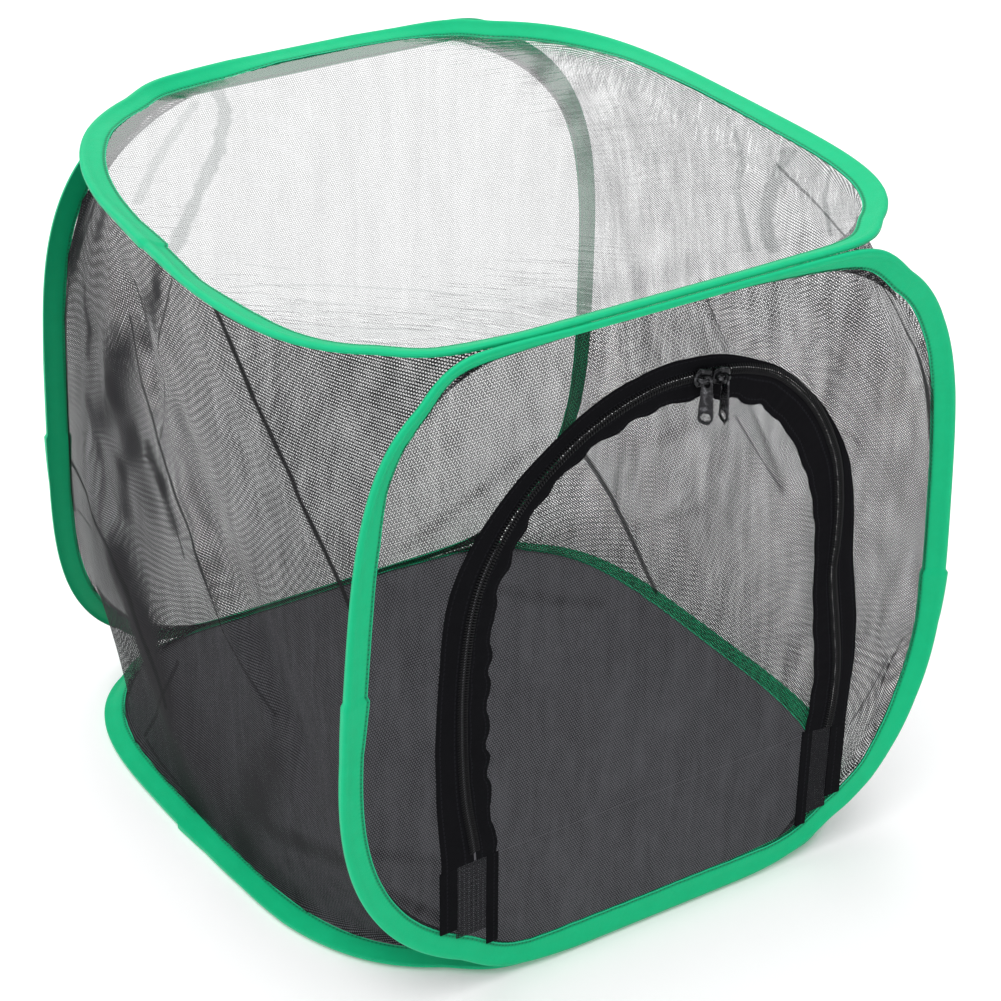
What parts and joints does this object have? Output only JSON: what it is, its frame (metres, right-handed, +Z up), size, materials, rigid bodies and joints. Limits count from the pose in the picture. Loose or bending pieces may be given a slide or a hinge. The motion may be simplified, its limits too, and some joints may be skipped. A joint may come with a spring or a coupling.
{
  "type": "insect cage",
  "caption": "Cube-shaped pop-up insect cage: sprung hoops in cloth bindings hold mesh walls, a clear top, a cloth floor and an arched zip door.",
  "frame": {"origin": "on the ground under the middle of the cage's box", "axes": "+Z up, -Y out of the door, +X to the right seen from in front"},
  "size_m": [0.3712, 0.3652, 0.3578],
  "materials": {
    "green_binding": "satin",
    "spring_wire": "bright",
    "ferrule": "satin",
    "black_mesh": "matt net",
    "clear_film": "clear plastic film, creased",
    "floor_cloth": "matt",
    "zip_tape": "matt",
    "zip_coil": "satin",
    "black_enamel": "gloss"
  },
  "bodies": {
    "bottom": {"bottom_binding": "green_binding", "bottom_wire": "spring_wire", "bottom_wire_ferrule": "ferrule", "floor_cloth": "floor_cloth", "left_mesh": "black_mesh", "right_mesh": "black_mesh"},
    "front": {"front_binding": "green_binding", "front_wire": "spring_wire", "front_wire_ferrule": "ferrule", "front_mesh": "black_mesh", "zip_tape_outer": "zip_tape", "zip_coil_outer": "zip_coil", "zip_patch_left": "zip_tape", "zip_patch_right": "zip_tape"},
    "top": {"top_binding": "green_binding", "top_wire": "spring_wire", "top_wire_ferrule": "ferrule", "top_film": "clear_film"},
    "back": {"back_binding": "green_binding", "back_wire": "spring_wire", "back_wire_ferrule": "ferrule", "back_mesh": "black_mesh"},
    "door": {"door_mesh": "black_mesh", "zip_tape_inner": "zip_tape", "zip_coil_inner": "zip_coil"},
    "slider_left": {"slider_left": "black_enamel"},
    "slider_right": {"slider_right": "black_enamel"},
    "pull_left": {"pull_left": "black_enamel"},
    "pull_right": {"pull_right": "black_enamel"}
  },
  "joints": [
    {"name": "fold_front", "type": "hinge", "parent": "bottom", "child": "front", "pos_m": [-0.00252, -0.17134, 0.0039], "axis": [-1, 0, 0], "range_deg": [0, 86], "stiffness_Nm_per_rad": 1, "deforming": ["left_mesh", "right_mesh"]},
    {"name": "fold_top", "type": "hinge", "parent": "front", "child": "top", "pos_m": [-0.00252, -0.17134, 0.3539], "axis": [-1, 0, 0], "range_deg": [-86, 0]},
    {"name": "fold_back", "type": "hinge", "parent": "top", "child": "back", "pos_m": [-0.00252, 0.17866, 0.3539], "axis": [-1, 0, 0], "range_deg": [0, 86]},
    {"name": "door_swing", "type": "hinge", "parent": "front", "child": "door", "pos_m": [-0.00352, -0.17249, 0.0809], "axis": [1, 0, 0], "range_deg": [-88, 0]},
    {"name": "slider_left_run", "type": "hinge", "parent": "front", "child": "slider_left", "pos_m": [-0.00352, -0.17134, 0.2054], "axis": [0, -1, 0], "range_deg": [0, 95]},
    {"name": "slider_right_run", "type": "hinge", "parent": "front", "child": "slider_right", "pos_m": [-0.00352, -0.17134, 0.2054], "axis": [0, 1, 0], "range_deg": [0, 72]},
    {"name": "pull_left_swing", "type": "hinge", "parent": "slider_left", "child": "pull_left", "pos_m": [0.00907, -0.17894, 0.31216], "axis": [-0.9931, 0, 0.1172], "range_deg": [-5, 150]},
    {"name": "pull_right_swing", "type": "hinge", "parent": "slider_right", "child": "pull_right", "pos_m": [0.01932, -0.17894, 0.31044], "axis": [-0.9772, 0, 0.2125], "range_deg": [-2, 150]}
  ],
  "couplings": [
    {"joint": "fold_top", "follows": "fold_front", "ratio": -1},
    {"joint": "fold_back", "follows": "fold_front", "ratio": 1}
  ]
}
